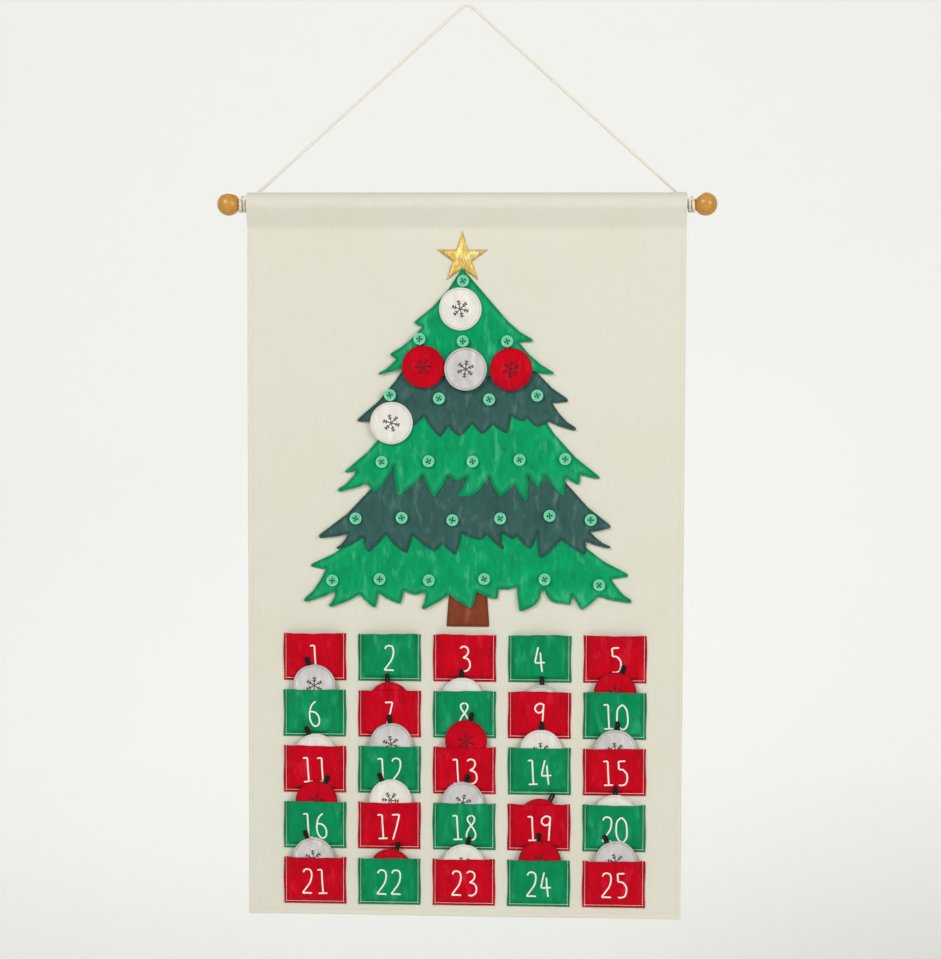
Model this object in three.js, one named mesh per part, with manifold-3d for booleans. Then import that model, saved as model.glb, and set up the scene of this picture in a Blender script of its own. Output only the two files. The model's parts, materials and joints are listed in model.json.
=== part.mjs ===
// A fabric advent calendar: a canvas banner on a turned rod, with an appliqued felt tree, sewn
// buttons, twenty five felt pockets and twenty five felt ornaments. Millimetres, +Z up, the front
// faces -Y, and the origin is the point where the cord hangs on its hook.
import * as THREE from 'three';
import { mergeVertices } from 'three/addons/utils/BufferGeometryUtils.js';
import Module from 'manifold-3d';

const wasm = await Module();
wasm.setup();

// Cloth and the spaces left between pieces
const feltThick = 1.2;
const canvasThick = 0.8;
const clearance = 0.3;
const weldDistance = 0.0005;

// Rod: one turned piece with a neck and a ball at each end
const rodRadius = 11.1;
const neckRadius = 5;
const ballRadius = 12;
const neckWidth = 8.6;
const coveLength = 6;
const rodSides = 24;
const ballSteps = 7;
const coveSteps = 3;

// Banner: canvas panel with a sleeve for the rod and a hem all round
const bannerWidth = 457;
const bannerHeight = 762;
const sleeveDrop = 24;
const hemWidth = 7;
const hemLayers = 3;
const hemStep = 0.8;
const cornerCurl = 6;
const cornerReach = 26;
const curlPower = 1.5;
const sleeveSteps = 18;
const seamOverlap = 2;

// Cord: taut over the hook, wound round each neck
const cordRadius = 1.8;
const cordRise = 205;
const cordSides = 8;
const legStep = 10;
const windPitch = 4.2;
const windStart = -9;
const windTouch = 80;
const windEnd = 520;
const windStep = 15;
const tailLength = 11;
const tailSteps = 2;
const easePower = 3;
const fullTurn = 360;

// Tree
const treeShift = -3.6;
const treeTop = 79.5;
const treeWidth = 356;
const treeHeight = 357;
const trunkHeight = 49;
const trunkTopWidth = 38;
const trunkFootWidth = 45;
const trunkShift = 7;
const trunkTopShare = 0.9097;
const starRadius = 28.5;
const starInnerShare = 0.382;
const starPoints = 5;
const starCrown = 2.6;
const starGap = 0.5;
const edgeBulgeShare = 0.12;
const edgeDipShare = 0.1;
const edgeSteps = 3;

// Buttons, sewn on a thread shank
const buttonRadius = 6.25;
const buttonThick = 2.2;
const buttonRim = 1.7;
const buttonDish = 0.7;
const shankRadius = 1.5;
const shankLength = 2.5;
const shankRoot = 0.4;
const buttonSides = 12;

// Ornaments: two felt discs sewn together with an elastic loop
const ornamentRadius = 22.5;
const ornamentThick = 2 * feltThick;
const ornamentSides = 32;
const loopRadius = 0.7;
const loopSides = 5;
const loopArcSteps = 6;
const loopRoot = 4;
const hangGap = 0.45;
const ornamentHang = ornamentRadius + buttonRadius + hangGap;

// Pockets: felt, sewn to the canvas on three sides, in five rows and five columns
const pocketWidth = 66;
const pocketHeight = 49.4;
const pocketColumns = 5;
const pocketRows = 5;
const columnPitch = 79;
const rowPitch = 59.6;
const firstMouth = 462;
const seamWidth = 3.3;
const pocketShoulder = 3.5;
const pocketSway = 2;

const degrees = Math.PI / 180;
const half = 0.5;

// Each tier, given as shares of the tree, lies over the top of the next, and each ornament lies over
// the pocket above its own, so tiers lean out at the foot and pocketed ornaments at the top.
const tierShares = [
  { top: 0, width: 0.5393, height: 0.3188 },
  { top: 0.2553, width: 0.6685, height: 0.2341 },
  { top: 0.402, width: 0.809, height: 0.2736 },
  { top: 0.5515, width: 0.8764, height: 0.2877 },
  { top: 0.7433, width: 1, height: 0.2567 },
];
const tiers = tierShares.map((share) => ({
  drop: treeTop + share.top * treeHeight,
  halfWidth: share.width * treeWidth * half,
  height: share.height * treeHeight,
}));
const tierPitches = tiers.slice(1).map((tier, i) => tier.drop - tiers[i].drop);
const tierTilt = Math.atan((feltThick + clearance) / Math.min(...tierPitches));
const shingleRise = ornamentThick + feltThick + 2 * clearance;
const pocketTilt = Math.atan(shingleRise / rowPitch);

const bannerHalf = bannerWidth * half;
const sleeveInner = rodRadius + clearance;
const sleeveOuter = sleeveInner + canvasThick;
const rodForward = sleeveOuter + clearance + cordRadius;
const ballCentre = bannerHalf + neckWidth + Math.sqrt(ballRadius ** 2 - neckRadius ** 2);

const colours = {
  canvas: '#e9e5d6', wood: '#cf9550', cord: '#e2d8bd', brightGreen: '#14965a', darkGreen: '#3a5c56',
  trunk: '#7d3c22', gold: '#d9b45a', red: '#c40420', white: '#ece8de', grey: '#cdc9c6',
};

function finish(name, geometry, colour, roughness, metalness = 0) {
  geometry.computeVertexNormals();
  const material = new THREE.MeshStandardMaterial({ color: colour, roughness, metalness });
  const mesh = new THREE.Mesh(geometry, material);
  mesh.name = name;
  return mesh;
}

function solidOf(geometry) {
  const bare = geometry.clone();
  bare.deleteAttribute('normal');
  bare.deleteAttribute('uv');
  const merged = mergeVertices(bare, weldDistance);
  return new wasm.Manifold(new wasm.Mesh({
    numProp: 3,
    vertProperties: merged.attributes.position.array,
    triVerts: Uint32Array.from(merged.index.array),
  }));
}

function geometryOf(solid) {
  const mesh = solid.getMesh();
  const geometry = new THREE.BufferGeometry();
  geometry.setAttribute('position', new THREE.BufferAttribute(mesh.vertProperties, 3));
  geometry.setIndex(new THREE.BufferAttribute(mesh.triVerts, 1));
  return geometry;
}

function joined(geometries) {
  return geometryOf(geometries.map(solidOf).reduce((sum, next) => sum.add(next)));
}

// Felt cut to an outline drawn in X and Z: its back is at y = 0 and its front faces -Y.
function cutFelt(shape, thick) {
  const options = { depth: thick, bevelEnabled: false, curveSegments: edgeSteps };
  return new THREE.ExtrudeGeometry(shape, options).rotateX(Math.PI * half);
}

// A sheet between two surfaces over a grid of stations, closed round its edge.
function gridSheet(xs, zs, frontAt, backAt) {
  const points = [];
  const faces = [];
  for (const surface of [frontAt, backAt]) {
    for (const z of zs) {
      for (const x of xs) points.push(x, surface(x, z), z);
    }
  }
  const across = xs.length;
  const up = zs.length;
  const count = across * up;
  for (let row = 0; row < up - 1; row++) {
    for (let column = 0; column < across - 1; column++) {
      const a = row * across + column;
      const [b, c, d] = [a + 1, a + 1 + across, a + across];
      faces.push(a, b, c, a, c, d);
      faces.push(count + a, count + c, count + b, count + a, count + d, count + c);
    }
  }
  const rim = [];
  for (let i = 0; i < across - 1; i++) rim.push(i);
  for (let i = 0; i < up - 1; i++) rim.push(i * across + across - 1);
  for (let i = across - 1; i > 0; i--) rim.push((up - 1) * across + i);
  for (let i = up - 1; i > 0; i--) rim.push(i * across);
  rim.forEach((p, i) => {
    const q = rim[(i + 1) % rim.length];
    faces.push(p, count + p, count + q, p, count + q, q);
  });
  const geometry = new THREE.BufferGeometry();
  geometry.setAttribute('position', new THREE.Float32BufferAttribute(points, 3));
  geometry.setIndex(faces);
  return geometry;
}

// A curve whose steps stand at chosen points, so that a tube is fine in its bends and coarse on
// its straight runs.
class Route extends THREE.Curve {
  constructor(points) {
    super();
    this.smooth = new THREE.CatmullRomCurve3(points, false, 'centripetal');
    this.last = points.length - 1;
  }
  getPoint(t, target) { return this.smooth.getPoint(t, target); }
  getPointAt(u, target) { return this.smooth.getPoint(u, target); }
  getTangentAt(u, target) { return this.smooth.getTangent(u, target); }
}

function tube(points, radius, sides) {
  const section = new THREE.Shape();
  for (let i = 0; i < sides; i++) {
    const angle = (i / sides) * Math.PI * 2;
    section[i ? 'lineTo' : 'moveTo'](radius * Math.cos(angle), radius * Math.sin(angle));
  }
  const extrudePath = new Route(points);
  return new THREE.ExtrudeGeometry(section, { steps: extrudePath.last, extrudePath });
}

// Rod: a plain body, a cove down to each neck, and a ball at each end
function rodGeometry() {
  const profile = [];
  for (let i = 0; i <= coveSteps; i++) {
    const angle = (1 - i / coveSteps) * Math.PI * half;
    const radius = neckRadius + (rodRadius - neckRadius) * (1 - Math.cos(angle));
    profile.push(new THREE.Vector2(radius, bannerHalf - coveLength * Math.sin(angle)));
  }
  const ballFoot = Math.PI - Math.asin(neckRadius / ballRadius);
  for (let i = 0; i <= ballSteps; i++) {
    const angle = ballFoot * (1 - i / ballSteps);
    profile.push(new THREE.Vector2(ballRadius * Math.sin(angle), ballCentre + ballRadius * Math.cos(angle)));
  }
  const otherEnd = profile.map((point) => new THREE.Vector2(point.x, -point.y)).reverse();
  return new THREE.LatheGeometry([...otherEnd, ...profile], rodSides).rotateZ(-Math.PI * half);
}

// Cord: the free legs are a list of places, and the windings come from a formula. The rod's axis
// is one cord's width and one sleeve's thickness in front of the plane of the legs.
const legPlaces = [
  [2.85, 1.27], [5.34, -0.24], [30, -22.3], [60, -49.2], [90, -76.1], [120, -102.9], [150, -129.8],
  [180, -156.7], [205, -179.1], [222, -194.3],
];
const hookPlace = [0, cordRadius];

function winding(side) {
  const nearRadius = neckRadius + cordRadius + clearance;
  const outer = ballCentre - Math.sqrt((ballRadius + cordRadius + clearance) ** 2 - nearRadius ** 2);
  const inner = outer - windPitch;
  const place = (angle, radius, along) => new THREE.Vector3(
    side * along,
    radius * Math.cos(angle * degrees) - rodForward,
    -radius * Math.sin(angle * degrees) - cordRise,
  );
  const points = [];
  for (let angle = windStart; angle < windTouch; angle += windStep) {
    const part = (angle - windStart) / (windTouch - windStart);
    const closing = (1 + Math.cos(Math.PI * part)) * half;
    const radius = nearRadius + (rodForward - nearRadius) * closing;
    points.push(place(angle, radius, inner + windPitch * (1 - (1 - part) ** easePower)));
  }
  for (let angle = windTouch; angle <= windEnd; angle += windStep) {
    points.push(place(angle, nearRadius, outer - windPitch * (angle - windTouch) / fullTurn));
  }
  const end = points.at(-1);
  const heading = end.clone().sub(points.at(-2));
  heading.x = 0;
  heading.normalize();
  for (let i = 1; i <= tailSteps; i++) {
    points.push(end.clone().addScaledVector(heading, tailLength * i / tailSteps));
  }
  return points;
}

function cordPoints() {
  const leg = (side) => legPlaces.map(([x, z]) => new THREE.Vector3(side * x, 0, z));
  const control = [
    ...winding(-1).reverse(), ...leg(-1).reverse(),
    new THREE.Vector3(hookPlace[0], 0, hookPlace[1]), ...leg(1), ...winding(1),
  ];
  const smooth = new THREE.CatmullRomCurve3(control, false, 'centripetal');
  const points = [control[0]];
  for (let i = 1; i < control.length; i++) {
    const steps = Math.max(1, Math.round(control[i].distanceTo(control[i - 1]) / legStep));
    for (let j = 1; j <= steps; j++) points.push(smooth.getPoint((i - 1 + j / steps) / (control.length - 1)));
  }
  return points;
}

function leastGap(points, diameter) {
  let least = Infinity;
  const run = [0];
  for (let i = 1; i < points.length; i++) run.push(run[i - 1] + points[i].distanceTo(points[i - 1]));
  for (let i = 0; i < points.length; i++) {
    for (let j = i + 1; j < points.length; j++) {
      if (run[j] - run[i] < Math.PI * diameter) continue;
      least = Math.min(least, points[i].distanceTo(points[j]) - diameter);
    }
  }
  return [least, run.at(-1)];
}

// Canvas banner, in the frame of the rod's axis
const hemThick = canvasThick * hemLayers;
const panelFront = -canvasThick * half;
const hemLine = sleeveOuter - bannerHeight;

function sleeveShape(radius, drop) {
  const lean = Math.asin(radius / drop);
  const points = [];
  for (let i = 0; i <= sleeveSteps; i++) {
    const angle = -lean + (i / sleeveSteps) * (Math.PI + 2 * lean);
    points.push(new THREE.Vector2(radius * Math.cos(angle), radius * Math.sin(angle)));
  }
  points.push(new THREE.Vector2(0, -drop));
  return points;
}

function canvasGeometry() {
  const seamDepth = canvasThick * sleeveDrop / sleeveInner;
  const ring = new THREE.Shape(sleeveShape(sleeveOuter, sleeveDrop + seamDepth));
  ring.holes.push(new THREE.Path(sleeveShape(sleeveInner, sleeveDrop)));
  const sleeve = new THREE.ExtrudeGeometry(ring, { depth: bannerWidth, bevelEnabled: false })
    .rotateX(Math.PI * half).rotateZ(Math.PI * half).translate(-bannerHalf, 0, 0);

  const inside = hemWidth + hemStep;
  const curlStart = bannerHalf - cornerReach;
  const xs = [-bannerHalf, hemWidth - bannerHalf, inside - bannerHalf, 0, curlStart,
    curlStart + cornerReach * half, bannerHalf - inside, bannerHalf - hemWidth, bannerHalf];
  const zs = [hemLine, hemLine + hemWidth, hemLine + inside, hemLine + cornerReach * half,
    hemLine + cornerReach, hemLine * half, -sleeveDrop - seamOverlap * half];
  const curl = (x, z) => {
    const sideShare = Math.max(0, x - curlStart) / cornerReach;
    const footShare = Math.max(0, hemLine + cornerReach - z) / cornerReach;
    return cornerCurl * (sideShare * footShare) ** curlPower;
  };
  const isHem = (x, z) => Math.abs(x) >= bannerHalf - hemWidth || z <= hemLine + hemWidth;
  const front = (x, z) => panelFront - curl(x, z);
  const back = (x, z) => front(x, z) + (isHem(x, z) ? hemThick : canvasThick);
  return joined([sleeve, gridSheet(xs, zs.sort((a, b) => a - b), front, back)]);
}

// Tree: each tier is a felt skirt with its buttons sewn on. Outlines run down the left side, along
// the jagged foot and up the right side, as shares of the tier's half width and of its height.
const tierOutlineShares = [
  [
    [0, 0], [-0.52, 0.49], [-0.43, 0.525], [-0.78, 0.78], [-0.71, 0.82], [-0.91, 0.96], [-0.6, 0.88],
    [-0.47, 0.99], [-0.34, 0.89], [-0.21, 0.98], [-0.08, 0.91], [0.04, 1], [0.16, 0.91], [0.28, 0.98],
    [0.4, 0.9], [0.52, 0.99], [0.65, 0.89], [0.83, 0.94], [1, 0.95], [0.61, 0.66], [0.77, 0.65],
    [0.39, 0.37],
  ],
  [
    [-0.45, 0], [-0.92, 0.8], [-0.82, 0.81], [-0.71, 0.7], [-0.59, 0.89], [-0.49, 0.72], [-0.43, 0.86],
    [-0.33, 0.74], [-0.19, 1], [-0.12, 0.86], [-0.02, 0.99], [0.09, 0.83], [0.18, 0.96], [0.27, 0.84],
    [0.4, 0.95], [0.43, 0.73], [0.54, 0.8], [0.57, 0.75], [0.66, 0.87], [0.76, 0.8], [1, 0.9],
    [0.79, 0.57], [0.93, 0.54], [0.56, 0],
  ],
  [
    [-0.44, 0], [-0.85, 0.7], [-0.76, 0.68], [-0.9, 0.9], [-0.69, 0.82], [-0.63, 0.92], [-0.49, 0.62],
    [-0.46, 0.95], [-0.28, 0.72], [-0.2, 0.96], [-0.1, 0.73], [-0.03, 0.79], [0.04, 0.74],
    [-0.03, 0.95], [0.08, 0.95], [0.2, 0.74], [0.28, 0.96], [0.38, 0.82], [0.47, 1], [0.48, 0.72],
    [0.56, 0.85], [0.6, 0.72], [0.74, 0.94], [0.75, 0.74], [0.85, 0.82], [0.86, 0.71], [1, 0.75],
    [0.54, 0],
  ],
  [
    [-0.46, 0], [-0.96, 0.81], [-0.76, 0.775], [-0.84, 0.93], [-0.66, 0.81], [-0.63, 0.96],
    [-0.51, 0.78], [-0.37, 0.97], [-0.33, 0.78], [-0.18, 0.95], [-0.13, 0.87], [-0.04, 0.98],
    [0, 0.76], [0.13, 0.83], [0.17, 0.77], [0.28, 0.92], [0.27, 0.75], [0.35, 0.82], [0.37, 0.78],
    [0.46, 0.92], [0.51, 0.74], [0.53, 1], [0.67, 0.82], [0.83, 0.97], [0.83, 0.835], [1, 0.9],
    [0.86, 0.74], [1, 0.69], [0.59, 0],
  ],
  [
    [-0.53, 0], [-0.89, 0.49], [-0.8, 0.53], [-0.93, 0.9], [-0.74, 0.78], [-0.78, 0.96], [-0.6, 0.82],
    [-0.51, 0.97], [-0.49, 0.8], [-0.36, 0.92], [-0.34, 0.77], [-0.27, 0.82], [-0.21, 0.78],
    [-0.23, 0.98], [-0.07, 0.81], [0.06, 0.97], [0.09, 0.78], [0.21, 0.86], [0.22, 0.74],
    [0.28, 0.75], [0.33, 0.71], [0.35, 1], [0.48, 0.73], [0.64, 0.92], [0.65, 0.8], [0.71, 0.96],
    [0.81, 0.82], [1, 0.88], [0.88, 0.62], [0.98, 0.58], [0.59, 0],
  ],
];

const buttonPlaceShares = [
  [[0.01, 0.11], [-0.46, 0.64], [0.01, 0.66], [0.49, 0.66]],
  [[-0.63, 0.48], [-0.2, 0.52], [0.24, 0.53], [0.66, 0.48]],
  [[-0.58, 0.59], [-0.24, 0.58], [0.08, 0.58], [0.42, 0.56], [0.75, 0.55]],
  [[-0.71, 0.62], [-0.4, 0.61], [-0.06, 0.63], [0.26, 0.61], [0.59, 0.58], [0.865, 0.62]],
  [[-0.76, 0.66], [-0.48, 0.64], [-0.19, 0.65], [0.135, 0.63], [0.49, 0.63], [0.81, 0.69]],
];

function tierShape(index) {
  const { halfWidth, height } = tiers[index];
  const points = tierOutlineShares[index].map(([across, down]) => (
    new THREE.Vector2(across * halfWidth, -down * height)));
  const shape = new THREE.Shape();
  shape.moveTo(points[0].x, points[0].y);
  points.forEach((point, i) => {
    const next = points[(i + 1) % points.length];
    const share = next.x < point.x ? -edgeDipShare : edgeBulgeShare;
    const bend = next.clone().sub(point).multiplyScalar(share);
    const middle = point.clone().lerp(next, half);
    if (i < points.length - 1) shape.quadraticCurveTo(middle.x + bend.y, middle.y - bend.x, next.x, next.y);
  });
  shape.closePath();
  return shape;
}

function buttonGeometry(x, z) {
  const face = shankLength + buttonThick;
  const profile = [
    [0, -shankRoot], [shankRadius, -shankRoot], [shankRadius, shankLength], [buttonRadius, shankLength],
    [buttonRadius, face], [buttonRadius - buttonRim, face],
    [buttonRadius - buttonRim - buttonDish, face - buttonDish], [0, face - buttonDish],
  ].map(([radius, height]) => new THREE.Vector2(radius, height));
  return new THREE.LatheGeometry(profile, buttonSides).rotateX(Math.PI).translate(x, -feltThick, z);
}

function buttonPlaces(index) {
  const { halfWidth, height } = tiers[index];
  return buttonPlaceShares[index].map(([across, down]) => [across * halfWidth, -down * height]);
}

function tierGeometry(index) {
  const felt = cutFelt(tierShape(index), feltThick);
  return joined([felt, ...buttonPlaces(index).map(([x, z]) => buttonGeometry(x, z))]);
}

function trunkGeometry() {
  const [top, foot] = [trunkTopWidth * half, trunkFootWidth * half];
  const shape = new THREE.Shape([
    new THREE.Vector2(-top, 0), new THREE.Vector2(-foot, -trunkHeight),
    new THREE.Vector2(foot, -trunkHeight), new THREE.Vector2(top, 0),
  ]);
  return cutFelt(shape, feltThick);
}

// Star: thin at its rim, with a ridge from the middle to each tip
function starGeometry() {
  const points = [0, -starCrown, 0, 0, 0, 0];
  const faces = [];
  const rim = 2 * starPoints;
  for (let i = 0; i < rim; i++) {
    const angle = (i / rim) * Math.PI * 2;
    const radius = i % 2 ? starRadius * starInnerShare : starRadius;
    const [x, z] = [radius * Math.sin(angle), radius * Math.cos(angle)];
    points.push(x, -feltThick, z, x, 0, z);
    const [a, b] = [2 + 2 * i, 2 + 2 * ((i + 1) % rim)];
    faces.push(0, b, a, a, b, b + 1, a, b + 1, a + 1, 1, a + 1, b + 1);
  }
  const geometry = new THREE.BufferGeometry();
  geometry.setAttribute('position', new THREE.Float32BufferAttribute(points, 3));
  geometry.setIndex(faces);
  return geometry;
}

// Ornament: the disc's centre is at the origin with its back at y = 0. The loop stands on its edge
// at an angle from upright, with its round end centred where a button's shank would be. A crank
// sets the loop back from the disc, for an ornament that hangs in front of its neighbours.
function ornamentGeometry(lean, crank) {
  const disc = new THREE.CylinderGeometry(ornamentRadius, ornamentRadius, ornamentThick, ornamentSides)
    .translate(0, -ornamentThick * half, 0);
  const bend = shankRadius + clearance + loopRadius;
  const middle = -ornamentThick * half;
  const edge = ornamentRadius - loopRadius;
  const legs = [[middle, edge - loopRoot]];
  if (crank) legs.unshift([middle, edge - 2 * loopRoot]);
  legs.at(-1)[0] += crank;
  const arc = [];
  for (let i = 0; i <= loopArcSteps; i++) {
    const angle = Math.PI * (1 - i / loopArcSteps);
    const height = ornamentHang + bend * Math.sin(angle);
    arc.push(new THREE.Vector3(bend * Math.cos(angle), middle + crank, height));
  }
  const leg = (side) => legs.map(([y, z]) => new THREE.Vector3(side * bend, y, z));
  const points = [...leg(-1), ...arc, ...leg(1).reverse()];
  return joined([disc, tube(points, loopRadius, loopSides)]).rotateY(lean * degrees);
}

// Pocket: flat along its three seams, standing off the canvas inside them and open at the top
function pocketGeometry() {
  const side = pocketWidth * half;
  const seam = side - seamWidth;
  const shoulder = seam - pocketShoulder;
  const xs = [-side, -seam, -shoulder, shoulder, seam, side];
  const zs = [0, seamWidth, seamWidth + pocketShoulder, pocketHeight];
  const room = ornamentThick / Math.cos(pocketTilt) + clearance;
  const isLoose = (x, z) => Math.abs(x) < seam && z > seamWidth;
  const back = (x, z) => (isLoose(x, z) ? -room - z * Math.tan(pocketTilt) : 0);
  return gridSheet(xs, zs, (x, z) => back(x, z) - feltThick, back);
}

// Where each ornament is, from 1 to 25: [colour, button's tier and number, sway to the right] on the
// tree
const hungOrnaments = [
  ['white', 0, 0, -5.5], ['red', 0, 1, 8], ['grey', 0, 2, 6], ['red', 0, 3, 8], ['white', 1, 0, 3],
];
// the grey one hangs in front of the red one on each side of it
const frontOrnament = 2;
// and [colour, share of its width above the pocket, share of the side play, loop's lean] in a pocket
const pocketedOrnamentShares = [
  ['grey', 0.62, 0, -15], ['red', 0.22, 0, -4], ['white', 0.34, -1, -2], ['grey', 0.19, 1, 1],
  ['red', 0.5, 0, 18], ['white', 0.31, 0.5, -18], ['grey', 0.58, 1, -3], ['red', 0.67, 1, 12],
  ['white', 0.46, 1, 1], ['grey', 0.48, 0.5, 4], ['red', 0.52, 1, 25], ['white', 0.58, 0.75, -23],
  ['grey', 0.54, -0.5, 10], ['red', 0.16, 0.3, 28], ['white', 0.28, 0.5, 0], ['grey', 0.5, -0.5, -17],
  ['red', 0.25, 0.75, 17], ['white', 0.39, 0, 11], ['red', 0.49, 0.5, -2], ['grey', 0.51, 1, -24],
];

const label = (stem, number) => `${stem}_${String(number).padStart(2, '0')}`;

const calendar = new THREE.Group();
const route = cordPoints();
const [cordGap, cordLength] = leastGap(route, 2 * cordRadius);
console.log(`cord: ${cordLength.toFixed(0)} long, least gap to itself ${cordGap.toFixed(2)}`);
calendar.add(finish('hanging_cord', tube(route, cordRadius, cordSides), colours.cord, 0.9));

// The rod group has the rod's axis for its X axis
const onRod = new THREE.Group();
onRod.position.set(0, -rodForward, -cordRise);
calendar.add(onRod);
onRod.add(finish('hanging_rod', rodGeometry(), colours.wood, 0.45));
onRod.add(finish('canvas_banner', canvasGeometry(), colours.canvas, 0.95));

// The face group has its origin at the middle of the banner's top edge, on the panel's front
const face = new THREE.Group();
face.position.set(0, panelFront - clearance, sleeveOuter);
onRod.add(face);

const tierGroups = tiers.map((tier, index) => {
  const group = new THREE.Group();
  group.position.set(treeShift, 0, -tier.drop);
  group.rotation.x = -tierTilt;
  const colour = index % 2 ? colours.darkGreen : colours.brightGreen;
  group.add(finish(`tree_tier_${index + 1}`, tierGeometry(index), colour, 0.95));
  face.add(group);
  return group;
});

const trunk = finish('tree_trunk', trunkGeometry(), colours.trunk, 0.95);
trunk.position.set(treeShift + trunkShift, 0, -treeTop - trunkTopShare * treeHeight);
const star = finish('tree_star', starGeometry(), colours.gold, 0.4, 0.3);
star.position.set(treeShift, 0, -treeTop + starRadius * starInnerShare + starGap);
face.add(trunk, star);

hungOrnaments.forEach(([colour, tierIndex, buttonIndex, sway], index) => {
  const crank = index === frontOrnament ? ornamentThick + clearance : 0;
  const ornament = finish(
    label('ornament', index + 1), ornamentGeometry(-sway, crank), colours[colour], 0.95);
  const [x, z] = buttonPlaces(tierIndex)[buttonIndex];
  const [across, down] = [ornamentHang * Math.sin(sway * degrees), ornamentHang * Math.cos(sway * degrees)];
  ornament.position.set(x + across, -feltThick - clearance - crank, z - down);
  tierGroups[tierIndex].add(ornament);
});

for (let row = 0; row < pocketRows; row++) {
  for (let column = 0; column < pocketColumns; column++) {
    const number = row * pocketColumns + column + 1;
    const x = (column - (pocketColumns - 1) * half) * columnPitch;
    const foot = -firstMouth - row * rowPitch - pocketHeight;
    const colour = number % 2 ? colours.red : colours.brightGreen;
    const pocket = finish(label('pocket', number), pocketGeometry(), colour, 0.95);
    pocket.position.set(x, 0, foot);
    face.add(pocket);
    if (number <= hungOrnaments.length) continue;
    const [shade, aboveShare, swayShare, lean] = pocketedOrnamentShares[number - hungOrnaments.length - 1];
    const leaning = new THREE.Group();
    leaning.position.set(x, 0, foot);
    leaning.rotation.x = pocketTilt;
    const ornament = finish(label('ornament', number), ornamentGeometry(lean, 0), colours[shade], 0.95);
    const above = aboveShare * 2 * ornamentRadius;
    const centre = (pocketHeight + above) / Math.cos(pocketTilt) - ornamentRadius;
    ornament.position.set(swayShare * pocketSway, 0, centre);
    leaning.add(ornament);
    face.add(leaning);
  }
}

export default calendar;
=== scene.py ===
# A fabric advent calendar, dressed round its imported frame: a canvas banner on a turned rod and a
# twisted cord, a felt tree with sewn buttons, numbered felt pockets and round felt ornaments.
# +Z up, the front faces -Y, and the origin is where the cord hangs. Sizes are in millimetres, and
# every finished piece is brought to metres by set_down().
import json
import random
from math import asin, atan2, cos, pi, radians, sin, sqrt, tan, tau

import bmesh
import bpy
import numpy as np
from mathutils import Matrix, Vector
from mathutils.geometry import delaunay_2d_cdt


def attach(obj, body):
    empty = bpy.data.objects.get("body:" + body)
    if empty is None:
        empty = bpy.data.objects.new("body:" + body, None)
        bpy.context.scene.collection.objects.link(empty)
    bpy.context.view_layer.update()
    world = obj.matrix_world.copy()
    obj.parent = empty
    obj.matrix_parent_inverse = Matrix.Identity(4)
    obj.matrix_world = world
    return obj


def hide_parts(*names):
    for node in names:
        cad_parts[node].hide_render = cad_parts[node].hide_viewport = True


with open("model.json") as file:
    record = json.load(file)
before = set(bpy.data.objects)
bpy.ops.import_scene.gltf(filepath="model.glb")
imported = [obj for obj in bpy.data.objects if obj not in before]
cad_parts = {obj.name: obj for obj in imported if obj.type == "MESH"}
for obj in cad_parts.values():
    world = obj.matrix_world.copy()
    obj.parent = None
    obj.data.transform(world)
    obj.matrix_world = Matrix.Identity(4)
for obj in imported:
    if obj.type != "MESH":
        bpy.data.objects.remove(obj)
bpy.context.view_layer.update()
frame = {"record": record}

# The studio: a camera where the photograph was taken from, a pale floor that sweeps up into a
# backdrop well behind the banner, a large soft lamp at the upper left, a fill at the right, and a
# weak lamp behind and above for the back.
focal_pixels, long_side_pixels, film_width = 2000, 959, 36


def shown(name, data):
    """A new object in the scene."""
    piece = bpy.data.objects.new(name, data)
    bpy.context.collection.objects.link(piece)
    return piece


camera = shown("camera", bpy.data.cameras.new("camera"))
camera.data.sensor_width = film_width
camera.data.lens = film_width * focal_pixels / long_side_pixels
camera.matrix_world = (
    Matrix.Translation((0.096, -2.102, -0.379))
    @ Matrix.Rotation(radians(2.48), 4, "Z")
    @ Matrix.Rotation(radians(86.92), 4, "X")
    @ Matrix.Rotation(radians(0.19), 4, "Z"))
scene = bpy.context.scene
scene.camera = camera
scene.view_settings.view_transform = "Standard"


def colour(text):
    """A colour as a screen shows it, given as six digits, for a socket."""
    parts = [int(text[i:i + 2], 16) / 255 for i in (0, 2, 4)]
    return (*[p / 12.92 if p <= 0.04045 else ((p + 0.055) / 1.055) ** 2.4 for p in parts], 1)


def feed(socket, value):
    """Sets a node's input to a value, or links it to a number, a socket or a node's first output."""
    value = value.socket if isinstance(value, Number) else value
    value = value.outputs[0] if isinstance(value, bpy.types.Node) else value
    if isinstance(value, bpy.types.NodeSocket):
        socket.id_data.links.new(value, socket)
    else:
        socket.default_value = value


def add(tree, kind, inputs=None, **settings):
    """A new node with its settings and inputs. Its kind is named without its family."""
    kinds = [family + "Node" + kind for family in ("Geometry", "Shader", "Function")]
    node = tree.nodes.new(next(kind for kind in kinds if hasattr(bpy.types, kind)))
    for key, value in settings.items():
        setattr(node, key, value)
    for key, value in (inputs or {}).items():
        feed(node.inputs[key], value)
    return node


class Number:
    """A number in a node tree that sums can be written with: each step adds one Math node."""

    def __init__(self, source):
        self.socket = source.outputs[0] if isinstance(source, bpy.types.Node) else source

    def math(self, operation, *others):
        node = add(self.socket.id_data, "Math", operation=operation)
        for socket, value in zip(node.inputs, (self, *others)):
            feed(socket, value)
        return Number(node)

    def __add__(self, other): return self.math("ADD", other)
    def __sub__(self, other): return self.math("SUBTRACT", other)
    def __mul__(self, other): return self.math("MULTIPLY", other)
    def __truediv__(self, other): return self.math("DIVIDE", other)
    def __mod__(self, other): return self.math("FLOORED_MODULO", other)
    def __pow__(self, other): return self.math("POWER", other)

    def bell(self, middle, width):
        """1 at the middle, and falling off to both sides."""
        return (((self - middle) / width) ** 2 * -1).math("EXPONENT")


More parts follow.
